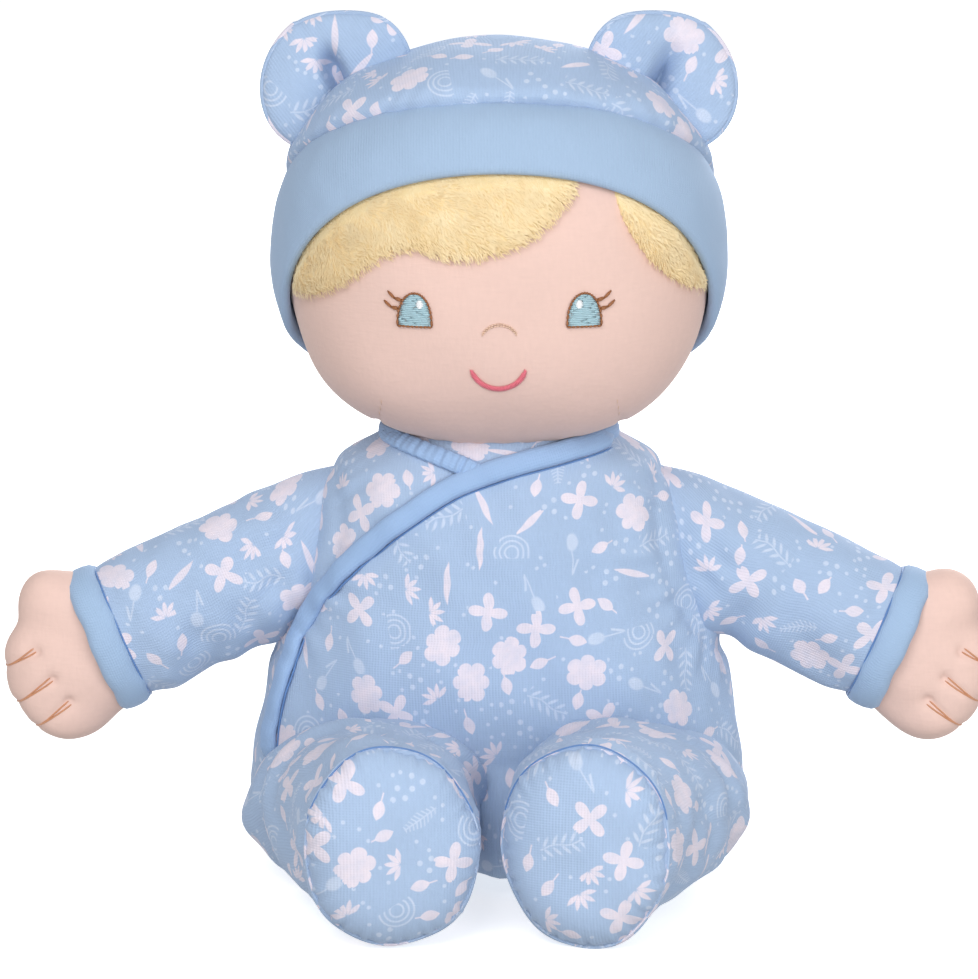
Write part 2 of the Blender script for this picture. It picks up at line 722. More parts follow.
def make_torso():
    points = shaped_torso(torso_points())
    uv = arc_uv(points, True)
    bowl = [np.stack([points[-1, :, 0] * k, points[-1, :, 1] * k, points[-1, :, 2] + dz], -1)
            for k, dz in BOWL]
    shape = Shape().grid(points, True, uv)
    shape.grid(np.stack([points[-1]] + bowl), True, caps=(False, True), slot=1)
    half, low, high = OPENING

    def open_back(p):
        return (np.abs(p[:, 0]) < half) & (p[:, 2] > low) & (p[:, 2] < high) & (p[:, 1] > 0)

    shape.drop(open_back)
    obj = shape.build("torso_suit", [PRINT, PLAIN])
    tree = surface_of(obj)
    heroes = [
        (-33, 107, BLOSSOM), (38, 101, BLOSSOM), (-15, 66, BLOSSOM), (25, 58, BLOSSOM),
        (-38, 51, BLOSSOM), (-61, 33, BLOSSOM), (37, 30, BLOSSOM), (-40, 74, STAR),
        (30, 44, STAR), (23, 106, STAR), (22, 76, STAR), (4, 92, RAINBOW), (45, 34, RAINBOW),
        (-54, 37, RAINBOW), (20, 91, TULIP), (3, 55, LEAF), (6, 21, BLOSSOM), (30, 76, LEAF),
    ]  # fmt: skip
    fixed = []
    for i, (x, z, kind) in enumerate(heroes):
        hit, _ = on_front(tree, x, z)
        row, col = np.unravel_index(np.linalg.norm(points - hit, axis=-1).argmin(), points.shape[:2])
        turn = 0.0 if kind in (RAINBOW, TULIP) else (i * 1.9) % TAU
        fixed.append((*uv[row, col], kind, turn))
    print_motifs(obj, 5, fixed)
    finish_piece(
        obj, "torso", ("torso_front_panel", "torso_back_panel", "torso_filling")
    )
    return tree


def strip_on(tree, path, width, height, shape):
    """A folded binding that follows (x, z) points over the front of a mesh."""
    samples, sides = 140, 14
    path = np.array(path, float)
    t = np.linspace(0, 1, len(path))
    s = np.linspace(0, 1, samples)
    xz = np.stack([curve(s, t, path[:, 0]), curve(s, t, path[:, 1])], 1)
    hits = [on_front(tree, x, z) for x, z in xz]
    centre = smoothed(np.array([h[0] for h in hits]), 4)
    normal = smoothed(np.array([h[1] for h in hits]), 6)
    way = np.gradient(centre, axis=0)
    way /= np.linalg.norm(way, axis=1)[:, None]
    side = np.cross(way, normal)
    side /= np.linalg.norm(side, axis=1)[:, None]
    turn = np.arange(sides) / sides * TAU
    across = np.sign(np.cos(turn)) * np.abs(np.cos(turn)) ** 0.7 * width / 2
    rise = np.sin(turn) * height / 2 + height * 0.32
    ends = np.clip(np.minimum(np.arange(samples), np.arange(samples)[::-1]) / 3.0, 0.15, 1) ** 0.5
    wave = 0.18 * np.sin(s * 95) + 0.14 * np.sin(s * 61 + 1)
    grid = (
        centre[:, None]
        + side[:, None] * across[None, :, None] * ends[:, None, None]
        + normal[:, None] * (rise[None] * ends[:, None] + wave[:, None])[..., None]
    )
    shape.grid(grid, True, caps=(True, True))
    return centre, side, normal


def smoothed(values, times):
    """Values along a line, averaged with their neighbours."""
    values = values.copy()
    for _ in range(times):
        values[1:-1] = (values[:-2] + 2 * values[1:-1] + values[2:]) / 4
    return values


WRAP_PATH = [
    (31.5, 119.5), (18, 117.8), (1.6, 114.3), (-14, 108.3), (-27.5, 99.5), (-40, 88.5),
    (-49, 77.5), (-55.5, 66), (-60, 54.5), (-64, 40), (-66, 27),
]  # fmt: skip
INNER_WRAP_PATH = [(-31.5, 119.8), (-24, 118.5), (-13, 115.5), (-5, 112.5)]


def make_binding(tree):
    """The bound wrap edge, the inner edge it covers and the collar."""
    shape = Shape()
    strip_on(tree, INNER_WRAP_PATH, 5.6, 2.6, shape)
    centre, side, normal = strip_on(tree, WRAP_PATH, 6.5, 3.4, shape)
    shape.grid(torso_collar(), True, caps=(True, True))
    edge = centre - side * 3.5 + normal * 0.1
    below = centre + side * 3.5 + normal * 0.1
    lower = edge if edge[len(edge) // 2][2] < below[len(edge) // 2][2] else below
    shape.grid(tube(lower[2:-3], 0.3), True, slot=1)
    obj = shape.build("wrap_edge", [BINDING, BLUE_THREAD])
    finish_piece(obj, "torso", ("wrap_binding",))


def torso_collar():
    """The binding's run around the sides and back of the neck, as an open tube."""
    sections, sides = 160, 14
    turn = np.linspace(math.radians(58), TAU - math.radians(58), sections)[:, None]
    wide, front, back = torso_ring(np.array(119.8))
    depth = np.where(np.cos(turn) > 0, front, back)
    x, y = wide * np.sin(turn), -depth * np.cos(turn)
    around = np.arange(sides) / sides * TAU
    out = 0.5 + 1.5 * np.cos(around)
    rise = 2.9 * np.sin(around)
    return np.stack([x + np.sin(turn) * out, y - np.cos(turn) * out, 119.6 + rise + 0 * turn], -1)


def make_flap():
    """The printed flap over the back opening, and its bound edge."""
    half, low, high = 27.0, 20.0, 69.0
    x = np.linspace(-half, half, 70)[None]
    z = np.linspace(low, high, 64)[:, None]

    def layer(offset):
        wide, _, back = torso_ring(z)
        y = (back + offset) * np.sqrt(np.clip(1 - (x / (wide + offset)) ** 2, 0, 1)) ** 0.96
        grid_x, grid_z = np.broadcast_to(x, y.shape), np.broadcast_to(z, y.shape)
        sag = 0.4 * lumps(np.stack([grid_x, y, grid_z], -1), 26, 31)
        return np.stack([grid_x, y + sag, grid_z], -1)

    outer, inner = layer(3.6), layer(2.3)
    shape = Shape().grid(outer).grid(inner[:, ::-1], slot=1)
    rim = border(outer), border(inner)
    shape.grid(np.stack(rim), True, slot=1)
    bound = border((outer + inner) / 2)
    shape.grid(tube_ring(bound, 1.25), True, slot=1)
    obj = shape.build("back_flap", [PRINT, PLAIN])
    print_motifs(obj, 8)
    finish_piece(obj, "flap", ("access_flap",))


def border(grid):
    """The points around a grid's edge, in order."""
    return np.concatenate([grid[0, :-1], grid[:-1, -1], grid[-1, :0:-1], grid[:0:-1, 0]])


def tube_ring(points, radius):
    """A grid around a closed line of points."""
    sides = 10
    way = np.roll(points, -1, 0) - np.roll(points, 1, 0)
    way /= np.linalg.norm(way, axis=1)[:, None] + 1e-9
    out = points - points.mean(0)
    side = out - (out * way).sum(1)[:, None] * way
    side /= np.linalg.norm(side, axis=1)[:, None] + 1e-9
    up = np.cross(way, side)
    turn = np.arange(sides) / sides * TAU
    ring = side[None] * np.cos(turn)[:, None, None] + up[None] * np.sin(turn)[:, None, None]
    grid = points[None] + ring * radius
    return np.concatenate([grid, grid[:1]])


# ---------------------------------------------------------------- arms
DROOP, FORWARD = math.radians(23), math.radians(6)
REACH = math.cos(DROOP)
ARM_WAY = np.array([REACH * math.cos(FORWARD), -REACH * math.sin(FORWARD), -math.sin(DROOP)])
ARM_UP = np.array([math.sin(DROOP), 0.0, math.cos(DROOP)])
ARM_FRONT = np.cross(ARM_WAY, ARM_UP)


def on_arm(along, up, front):
    """Points in the doll from distances along, up and to the front of the left arm."""
    return placed(SHOULDER, (ARM_WAY, ARM_UP, ARM_FRONT), (along, up, front))


def make_sleeve(name, side):
    """A stuffed sleeve, gathered at the armhole and the cuff, creased underneath."""
    along = np.linspace(-20, 58.5, 120)[:, None]
    turn = full_turn(120)[None]
    stops = [-20, -8, 0, 8, 18, 30, 42, 52, 58.5]
    tall = curve(along, stops, [17, 19.6, 20.3, 20.6, 20.6, 20.4, 20.3, 20.2, 19.4])
    deep = curve(along, stops, [9, 14, 16.8, 18.2, 18.4, 17.8, 17.2, 16.6, 15.6])
    lean = curve(along, stops, [1.8, 1.4, 1.0, 0.8, 0.8, 0.8, 0.6, 0.3, 0.1])
    up, front = tall * np.cos(turn) + lean, deep * np.sin(turn)
    points = on_arm(along + 0 * turn, up, front)
    seed = 40 + side
    lift = 0.8 * lumps(points, 30, seed) + 0.35 * lumps(points, 13, seed + 5)
    gather = np.sin(turn * 9 + 2.0 * lumps(points, 30, seed + 9))
    lift = lift + 0.5 * gather * bump(along - 8, 9) + 0.45 * np.sin(turn * 14 + side) * bump(along - 56, 5)
    crease = np.sin(along * 0.42 + 2.2 * np.cos(turn - 2.4) + side)
    lower = ramp(-np.cos(turn), -0.2, 0.9)
    lift = lift + 1.1 * crease * lower * bump(along - 16, 15)
    lift = lift * ramp(along, -10, 6) * (1 - 0.6 * ramp(np.cos(turn), 0.5, 1))
    points = push(points, lift * (1 - 0.85 * ramp(along, 48, 57)))
    shape = Shape().grid(points, True, arc_uv(points, True, (40 * side, 300)), caps=(True, True))
    obj = shape.build(f"sleeve_cover_{name}", [PRINT], side)
    print_motifs(obj, 60 + side)
    replaced = (f"sleeve_{name}", f"arm_filling_{name}", f"shoulder_filling_{name}")
    bend = (on_arm(-4, 0, 0), on_arm(20, 0, 0))
    finish_bent(obj, replaced, bend, side)


def make_cuff(name, side):
    """The folded cuff: a soft band, rolled at both edges."""
    profile = [
        (57.2, -3.2), (56.6, -0.6), (57.0, 0.9), (58.4, 1.9), (60.5, 2.3), (62.8, 2.3),
        (64.9, 1.9), (66.2, 0.8), (66.4, -0.7), (65.6, -2.0), (63.5, -2.6), (60.5, -2.8),
    ]  # fmt: skip
    turn = full_turn(120)
    rows = []
    for along, out in profile:
        wobble = 0.25 * np.sin(turn * 5 + side) + 0.15 * np.sin(turn * 11 + 2 * side)
        up, front = (19.4 + out) * np.cos(turn), (15.2 + out) * np.sin(turn)
        rows.append(on_arm(along + wobble, up, front))
    points = np.stack(rows + rows[:1])
    shape = Shape().grid(points, True)
    seam = on_arm(np.full(120, 56.9), 20.0 * np.cos(turn), 16.0 * np.sin(turn))
    shape.grid(tube_ring(seam, 0.28), True, slot=1)
    obj = shape.build(f"cuff_band_{name}", [PIPING, BLUE_THREAD], side)
    finish_piece(obj, f"arm_{name}", (f"cuff_{name}",))


def soft_union(distances, blend):
    """A smooth minimum of signed distances."""
    total = sum(np.exp(-d / blend) for d in distances)
    return -blend * np.log(total)


def hand_distance(p):
    """Signed distance of points (along, up, front) from the stuffed hand."""

    def ball(middle, radii):
        q = (p - np.array(middle)) / np.array(radii)
        return (np.linalg.norm(q, axis=-1) - 1) * min(radii)

    parts = [ball(middle, radii) for middle, radii in HAND_BALLS]
    return soft_union(parts, 2.0)


HAND_BALLS = [  # middle and radii: along, up, to the front; palm, fingers, thumb
    ((62.0, 0.5, 0.0), (17.0, 18.2, 12.0)), ((73.0, -3.5, 0.0), (16.5, 17.5, 11.4)),
    ((82.6, 4.4, 0.0), (7.9, 7.8, 7.8)), ((84.8, -3.6, 0.0), (7.7, 7.4, 8.0)),
    ((82.8, -12.2, 0.0), (7.9, 7.4, 7.8)), ((79.4, -16.2, 0.0), (7.6, 7.0, 7.6)),
    ((69.5, 13.0, 0.4), (8.4, 9.4, 8.0)), ((73.2, 16.8, 0.6), (7.6, 8.2, 7.4)),
]  # fmt: skip
FINGER_SEAMS = [  # inner and outer end along and up
    ((81.6, 6.6), (92.6, 4.4)), ((80.6, -2.8), (93.5, -6.4)), ((78.6, -11.2), (91.2, -15.0)),
]  # fmt: skip


def seam_place(local, seam):
    """How far points are beyond a finger seam's inner end, and beside it."""
    inner, outer = np.array(seam[0]), np.array(seam[1])
    way = (outer - inner) / np.linalg.norm(outer - inner)
    flat = local[..., :2] - inner
    return flat @ way, flat @ [-way[1], way[0]]


def make_hand(name, side):
    """A mitten hand: the skin of soft balls, drawn in along the finger seams."""
    middle = np.array([72.0, -1.0, 0.0])
    rows, cols = 110, 150
    tilt = np.linspace(0.004, math.pi - 0.004, rows)[:, None]
    turn = full_turn(cols)[None]
    way = np.stack([np.sin(tilt) * np.cos(turn), np.sin(tilt) * np.sin(turn), np.cos(tilt) + 0 * turn], -1)
    low, high = np.zeros(way.shape[:2]), np.full(way.shape[:2], 40.0)
    for _ in range(26):
        half = (low + high) / 2
        outside = hand_distance(middle + way * half[..., None]) > 0
        low, high = np.where(outside, low, half), np.where(outside, half, high)
    local = middle + way * low[..., None]
    for seam in FINGER_SEAMS:
        out, off = seam_place(local, seam)
        pit = bump(np.hypot(off, out), 2.4)
        groove = bump(off, 1.4) * ramp(out, -2.0, 1.5) * (1 - 0.5 * ramp(out, 5, 10)) + pit
        local = local - way * groove[..., None]
    fine = 0.22 * lumps(local, 15, 70 + side)
    local = local + way * fine[..., None]
    points = on_arm(local[..., 0], local[..., 1], local[..., 2])
    shape = Shape().grid(points, True, caps=(True, True))
    obj = shape.build(f"hand_skin_{name}", [SKIN], side)
    finish_piece(
        obj, f"arm_{name}", (f"hand_cover_{name}", f"hand_filling_{name}")
    )
    return surface_of(obj)


def make_finger_threads(name, side, tree):
    """Two strands over each finger seam, from one face of the hand round to the other."""
    shape = Shape()
    mirror = np.array([side, 1, 1])
    for inner, outer in FINGER_SEAMS:
        inner, outer = np.array(inner), np.array(outer)
        aside = (outer - inner)[::-1] * [-1, 1] / np.linalg.norm(outer - inner)
        for spread in (-0.6, 0.6):
            line = []
            for turn in np.linspace(-math.pi / 2, math.pi / 2, 34):
                hub = inner + aside * spread * abs(math.sin(turn)) ** 5
                reach = 30 * math.cos(turn)
                far = on_arm(*(hub + (outer - inner) / 11.2 * reach), 30 * math.sin(turn)) * mirror
                near = on_arm(*hub, 0.0) * mirror
                way = Vector(near - far).normalized()
                hit, _, _, _ = tree.ray_cast(Vector(far), way)
                if hit is not None:
                    line.append(np.array(hit) * mirror - np.array(way) * mirror * 0.1)
            line = smoothed(np.array(line), 1)
            shape.grid(tube(line, 0.25), True, caps=(True, True))
    obj = shape.build(f"finger_threads_{name}", [COPPER_THREAD], side)
    finish_piece(obj, f"arm_{name}", (f"finger_stitching_{name}",))


# ---------------------------------------------------------------- legs
LEG_TURN = {"left": math.radians(12.5), "right": math.radians(7.5)}


def leg_ways(name):
    """Directions along, across and above a leg, whose toes turn in."""
    toe, rise = LEG_TURN[name], math.radians(2.2)
    way = np.array([-math.sin(toe) * math.cos(rise), -math.cos(toe) * math.cos(rise), math.sin(rise)])
    across = np.array([math.cos(toe), -math.sin(toe), 0.0])
    return way, across, np.cross(way, across)


def on_leg(name, along, across, up):
    """Points in the doll from distances along, across and above a leg's middle line."""
    return placed(HIP, leg_ways(name), (along, across, up))


def foot_outline(turn, side, along):
    """How far the foot strays from an oval, growing from the ankle to the sole."""
    wave = 0.018 * np.sin(2 * turn + 0.7 + side) + 0.014 * np.sin(3 * turn - 1.1 * side)
    return 1 + (wave + 0.008 * np.sin(7 * turn + side)) * ramp(along, 25, 60)


def make_leg(name, side):
    """A stuffed leg from inside the body to its sole seam."""
    along = np.concatenate([np.linspace(-26, 66, 110), [67.6, 68.8, 69.2]])[:, None]
    turn = full_turn(130)[None]
    stops = [-26, -14, -4, 8, 22, 38, 52, 62, 69.2]
    wide = curve(along, stops, [20, 28.5, 32.8, 32.8, 30.2, 27.5, 25.2, 24, 23.4])
    tall = curve(along, stops, [12, 18, 21, 22.5, 23.8, 25.2, 26.6, 27.3, 27.4])
    centre = curve(along, stops, [-2, -0.6, -0.4, 0, 0.5, 0.5, 0, 0, 0])
    drop = curve(along, stops, [0, -2.2, -2.6, -1.8, -0.9, 0, 0.4, 0.4, 0.4])
    power = 0.93  # below 1 the section is a little boxy
    cos, sin = np.cos(turn), np.sin(turn)
    stray = foot_outline(turn, side, along)
    wide, tall = wide * stray, tall * stray
    across = wide * np.sign(sin) * np.abs(sin) ** power + centre
    up = tall * np.sign(cos) * np.abs(cos) ** power + drop
    points = on_leg(name, along + 0 * turn, across, up)
    seed = 80 + side
    lift = 0.9 * lumps(points, 32, seed) + 0.4 * lumps(points, 14, seed + 3)
    fold = np.sin(along * 0.33 + 1.5 * np.cos(turn * 2 + side) + 1.3 * lumps(points, 34, seed + 6))
    lift = lift + 1.25 * fold * bump(along - 14, 20)
    pucker = 0.5 * np.sin(turn * 26 + side) + 0.5 * np.sin(turn * 41)
    lift = lift + 0.4 * pucker * bump(along - 64, 6)
    lift = lift * ramp(along, -24, -6) * (1 - ramp(along, 65, 69))
    points = push(points, lift)
    points[..., 2] = np.where(points[..., 2] < 0.4, 0.6, points[..., 2])  # flat where it sits
    uv = arc_uv(points, True, (90 * side, 500))
    shape = Shape().grid(points, True, uv, caps=(True, True))
    obj = shape.build(f"leg_suit_{name}", [PRINT], side)
    print_motifs(obj, 90 + side)
    replaced = (f"leg_cover_{name}", f"leg_filling_{name}", f"hip_filling_{name}")
    bend = (on_leg(name, -14, 0, 0), on_leg(name, 18, 0, 0))
    finish_bent(obj, replaced, bend, side)


def make_sole(name, side):
    """The domed oval sole and the seam that joins it to the leg."""
    ring = np.concatenate([np.linspace(0.02, 0.9, 40), np.linspace(0.92, 1.0, 12)])[:, None]
    turn = full_turn(130)[None]
    wide, tall = np.array([[22.9], [26.9]]) * foot_outline(turn[0], side, 70)
    across, up = wide * ring * np.sin(turn), tall * ring * np.cos(turn) + 0.4
    dome = 10.2 * np.sqrt(np.clip(1 - ring**2.6, 0, 1)) + 0 * turn
    points = on_leg(name, 68.4 + dome, across, up)
    flat = np.stack([across, up], -1)
    pucker = np.sin(turn * 31) + np.sin(turn * 47 + side)
    lift = 0.5 * lumps(points, 24, 120 + side) - 0.28 * pucker * bump((1 - ring) * 24, 3.5)
    points = push(points, lift)
    uv = closed(flat) + [300 * side, 800]
    shape = Shape().grid(points[::-1], True, uv[::-1], caps=(False, True))
    around = turn[0]
    rim = foot_outline(around, side, 70)
    edge = on_leg(name, np.full(130, 68.9), 23.2 * rim * np.sin(around), 27.2 * rim * np.cos(around) + 0.4)
    shape.grid(tube_ring(edge, 0.45), True)
    arc = np.linspace(-1.25, 1.25, 70)
    rim = foot_outline(arc, side, 70)
    line = on_leg(name, np.full(70, 69.3), 23.5 * rim * np.sin(arc), 27.5 * rim * np.cos(arc) + 0.4)
    shape.grid(tube(line, 0.24), True, slot=1)
    obj = shape.build(f"sole_suit_{name}", [PRINT, BLUE_THREAD], side)
    print_motifs(obj, 130 + side)
    finish_piece(obj, f"leg_{name}", (f"sole_panel_{name}",))


# ---------------------------------------------------------------- head
def head_radius(way):
    """The stuffed head's radius along unit directions."""
    power = HEAD_POWER + 0.32 * ramp(-way[..., 2:], 0.0, 0.7)
    total = (np.abs(way / HEAD_RADII) ** power).sum(-1)
    return total ** (-1 / power[..., 0])


def head_way(turn, lift):
    """Unit directions: turn is 0 to the front and grows to the doll's left."""
    flat = np.cos(lift)
    return np.stack([flat * np.sin(turn), -flat * np.cos(turn), np.sin(lift) + 0 * turn], -1)


def on_head(turn, lift, offset=0.0):
    """Points on the head, or off it by offset."""
    way = head_way(turn, lift)
    return HEAD + way * (head_radius(way) + offset)[..., None]


DARTS = (33.5, 131.0)  # x and z of the middle of the tucks beside the chin


def make_head():
    """The stuffed head, with a tuck at each side of the chin."""
    lift = np.linspace(-math.pi / 2 + 0.01, math.pi / 2 - 0.01, 130)[:, None]
    turn = np.linspace(-math.pi, math.pi, 220, endpoint=False)[None]
    points = on_head(turn, lift)
    x, y, z = points[..., 0], points[..., 1], points[..., 2]
    depth = 0.35 * lumps(points, 40, 200)
    for side in SIDES.values():
        gap = np.abs(x * side - DARTS[0] - 0.15 * (DARTS[1] - z))
        dart = 0.9 * bump(gap, 1.1) * ramp(-z, -DARTS[1] - 4, -DARTS[1] + 6) * (y < 0)
        depth = depth - dart
    chin = bump(z - 119, 7)
    depth = depth + chin * 0.15 * np.sin(turn * 23 + lumps(points, 20, 201))
    points = push(points, depth)
    shape = Shape().grid(points, True, caps=(True, True))
    obj = shape.build("head_skin", [SKIN])
    finish_piece(
        obj, "head", ("face_panel", "head_back_panel", "head_filling")
    )
    return surface_of(obj)


HAIR_HEIGHT = 36.0


def make_hair(name, node, lower, slope, fibre_count, seed):
    """Short pile hair: a padded patch with a wavy hem, covered with combed fibres."""
    lower = np.array(lower, float)
    s = np.linspace(0, 1, 150)
    t = np.linspace(0, 1, len(lower))
    edge = np.stack([curve(s, t, lower[:, 0]), curve(s, t, lower[:, 1])], 1)
    edge[:, 1] += 0.35 * np.sin(s * 180) + 0.25 * np.sin(s * 111)
    rise = np.linspace(0, 1, 60)
    found = [[head_front(x, z + k * HAIR_HEIGHT) for x, z in edge] for k in rise]
    points, normals = np.moveaxis(np.array(found), 2, 0)
    puff = 2.4 * np.sqrt(np.clip(1 - (1 - np.clip(rise / 0.16, 0, 1)) ** 2, 0, 1))[:, None]
    ends = ramp(s, 0, 0.03) * ramp(1 - s, 0, 0.03)
    puff = 0.2 + puff * (0.4 + 0.6 * ends[None]) * (1 + 0.12 * lumps(points, 18, seed))
    puff = puff * (1 - 0.8 * ramp(plane_value(points, EDGE_PLANE), -3.5, 1.0))
    surface = points + normals * puff[..., None]
    shape = Shape().grid(surface)
    under = points - normals * 0.6
    shape.grid(np.stack([under[0], surface[0]]))
    rng = np.random.default_rng(seed)
    add_fibres(shape, fibre_grid(surface, normals, slope, rng, fibre_count))
    shape.drop(lambda p: plane_value(p, EDGE_PLANE) > 0.8)
    obj = shape.build(name, [HAIR_BASE, HAIR])
    finish_piece(obj, "head", (node,))


def head_front(x, z):
    """A point of the head's front at (x, z) and its normal."""
    rx, ry, rz = HEAD_RADII
    px, pz = abs(x - HEAD[0]) / rx, abs(z - HEAD[2]) / rz
    inside = max(1 - px**HEAD_POWER - pz**HEAD_POWER, 0.0004)
    y = HEAD[1] - ry * inside ** (1 / HEAD_POWER)
    point = np.array([x, y, z])
    local = point - HEAD
    grad = np.sign(local) * np.abs(local / HEAD_RADII) ** (HEAD_POWER - 1) / HEAD_RADII
    return point, grad / np.linalg.norm(grad)


def fibre_grid(surface, normals, slope, rng, count):
    """Roots, directions and lengths of pile fibres spread over a grid."""
    rows, cols = surface.shape[:2]
    r = rng.uniform(0, rows - 1.001, count)
    c = rng.uniform(0, cols - 1.001, count)
    i, j = r.astype(int), c.astype(int)
    fr, fc = (r - i)[:, None], (c - j)[:, None]

    def read(grid):
        first = grid[i, j] * (1 - fc) + grid[i, j + 1] * fc
        second = grid[i + 1, j] * (1 - fc) + grid[i + 1, j + 1] * fc
        return first * (1 - fr) + second * fr

    root, normal = read(surface), read(normals)
    comb = np.array([slope[0], 0.0, slope[1]])
    swirl = 0.5 * lumps(root, 16, 7)[:, None] * np.array([[0.6, 0, 0.8]])
    way = comb + swirl + rng.normal(0, 0.22, (count, 3))
    way -= (way * normal).sum(1)[:, None] * normal
    way /= np.linalg.norm(way, axis=1)[:, None]
    way = way * 0.86 + normal * rng.uniform(0.25, 0.6, (count, 1))
    length = rng.uniform(1.7, 3.1, count)
    return root, way, normal, length


def add_fibres(shape, fibres):
    """Each fibre is a thin bent ribbon of two quads."""
    root, way, normal, length = fibres
    side = np.cross(way, normal)
    side /= np.linalg.norm(side, axis=1)[:, None]
    middle = root + way * (length * 0.55)[:, None]
    tip = root + way * length[:, None] - normal * (0.28 * length)[:, None]
    rows = [(root - normal * 0.2, 0.13), (middle, 0.11), (tip, 0.03)]
    points = np.stack([p + side * w * k for p, w in rows for k in (-1, 1)], 1)
    count = len(root)
    base = (np.arange(count) * 6)[:, None]
    quads = np.concatenate([base + [[0, 1, 3, 2]], base + [[2, 3, 5, 4]]])
    uv = np.zeros((len(quads), 4, 2))
    shape.add(points.reshape(-1, 3), quads, uv, 1)


# ---------------------------------------------------------------- bonnet
# Leaning planes that cut the head, as a point and a slope: the band's lower edge over the
# face and behind, and its seam with the crown.
EDGE_PLANE = (np.array([0, -49.0, 202.0]), math.radians(51))
NAPE_PLANE = (np.array([0, -5.0, 150.0]), math.radians(30))
SEAM_PLANE = (np.array([0, -36.0, 218.0]), math.radians(32))


def smooth_loop(values, times):
    """Values around a circle, averaged with their neighbours."""
    for _ in range(times):
        values = (np.roll(values, 1) + 2 * values + np.roll(values, -1)) / 4
    return values


def plane_value(points, plane):
    """How far points are above a leaning plane."""
    origin, lean = plane
    return (points - origin) @ np.array([0, math.sin(lean), math.cos(lean)])


def plane_lift(turn, plane, offset):
    """For each turn, the lift at which the offset head crosses a leaning plane."""
    low, high = np.full(turn.shape, -1.45), np.full(turn.shape, 1.5)
    for _ in range(30):
        half = (low + high) / 2
        above = plane_value(on_head(turn, half, offset), plane) > 0
        low, high = np.where(above, low, half), np.where(above, half, high)
    return low


def band_edge(turn):
    """The lift of the band's lower edge: one plane over the face, a flatter one behind."""
    face, nape = plane_lift(turn, EDGE_PLANE, 3.5), plane_lift(turn, NAPE_PLANE, 3.5)
    return np.maximum(face, nape)


def make_band():
    """The bonnet's turned-up band, rolled at its lower edge."""
    turn = np.linspace(-math.pi, math.pi, 240, endpoint=False)
    lower, upper = smooth_loop(band_edge(turn), 6), plane_lift(turn, SEAM_PLANE, 3.5)
    reach = 60.0
    rows = []
    inner = [(9, 0.6), (6, 0.6), (3, 0.6), (1, 0.8), (-0.7, 1.3), (-1.3, 2.2), (-0.9, 3.2), (0.4, 3.9)]
    for drop, out in inner:
        rows.append(on_head(turn, lower + drop / reach, out))
    for k in np.linspace(0.06, 0.97, 44):
        swell = 3.9 + 1.0 * math.sin(math.pi * k) - 0.6 * k**6
        rows.append(on_head(turn, lower + (upper - lower) * k, swell))
    for drop, out in ((0.6, 3.2), (1.2, 2.0)):
        rows.append(on_head(turn, upper + drop / reach, out))
    points = np.stack(rows)
    wave = 0.3 * lumps(points, 34, 300) + 0.12 * lumps(points, 12, 301)
    hem = ramp(np.arange(len(rows)), 3, 12)[:, None]
    points = push(points, wave * hem)
    shape = Shape().grid(points, True)
    obj = shape.build("bonnet_brim", [PLAIN])
    finish_piece(obj, "head", ("bonnet_band",))


def make_crown():
    """The bonnet above its band, puckered along their seam."""
    turn = np.linspace(-math.pi, math.pi, 240, endpoint=False)
    upper = plane_lift(turn, SEAM_PLANE, 3.5)
    steps = np.concatenate([[-0.015, -0.004], np.linspace(0.01, 0.985, 90)])
    top = math.pi / 2 - 0.02
    rows = []
    for k in steps:
        swell = 4.4 + 1.8 * (1 - (1 - np.clip(k / 0.12, 0, 1)) ** 2) - 2.6 * bump(k + 0.005, 0.018)
        rows.append(on_head(turn, upper + (top - upper) * k, swell))
    points = np.stack(rows)
    spread = np.arange(len(turn)) / len(turn) * TAU
    gather = np.sin(spread * 38 + 2 * lumps(points, 30, 310))
    near_seam = bump(steps[:, None], 0.12)
    lift = 0.5 * lumps(points, 30, 311) + 0.22 * gather * near_seam
    points = push(points, lift)
    path = np.linalg.norm(np.diff(points[::-1], axis=0), axis=-1)
    far = np.concatenate([np.zeros((1, len(turn))), np.cumsum(path, 0)])[::-1]
    flat = np.stack([far * np.sin(turn), -far * np.cos(turn)], -1)
    uv = closed(flat) + [700, 0]
    shape = Shape().grid(points, True, uv, caps=(False, True))
    obj = shape.build("bonnet_dome", [PRINT])
    print_motifs(obj, 320)
    finish_piece(obj, "head", ("bonnet_crown",))


# ---------------------------------------------------------------- ears
EAR_SLOPE = math.radians(38.5)
EAR_ALONG = np.array([math.cos(EAR_SLOPE), 0.0, -math.sin(EAR_SLOPE)])
EAR_OUT = np.array([math.sin(EAR_SLOPE), 0.0, math.cos(EAR_SLOPE)])


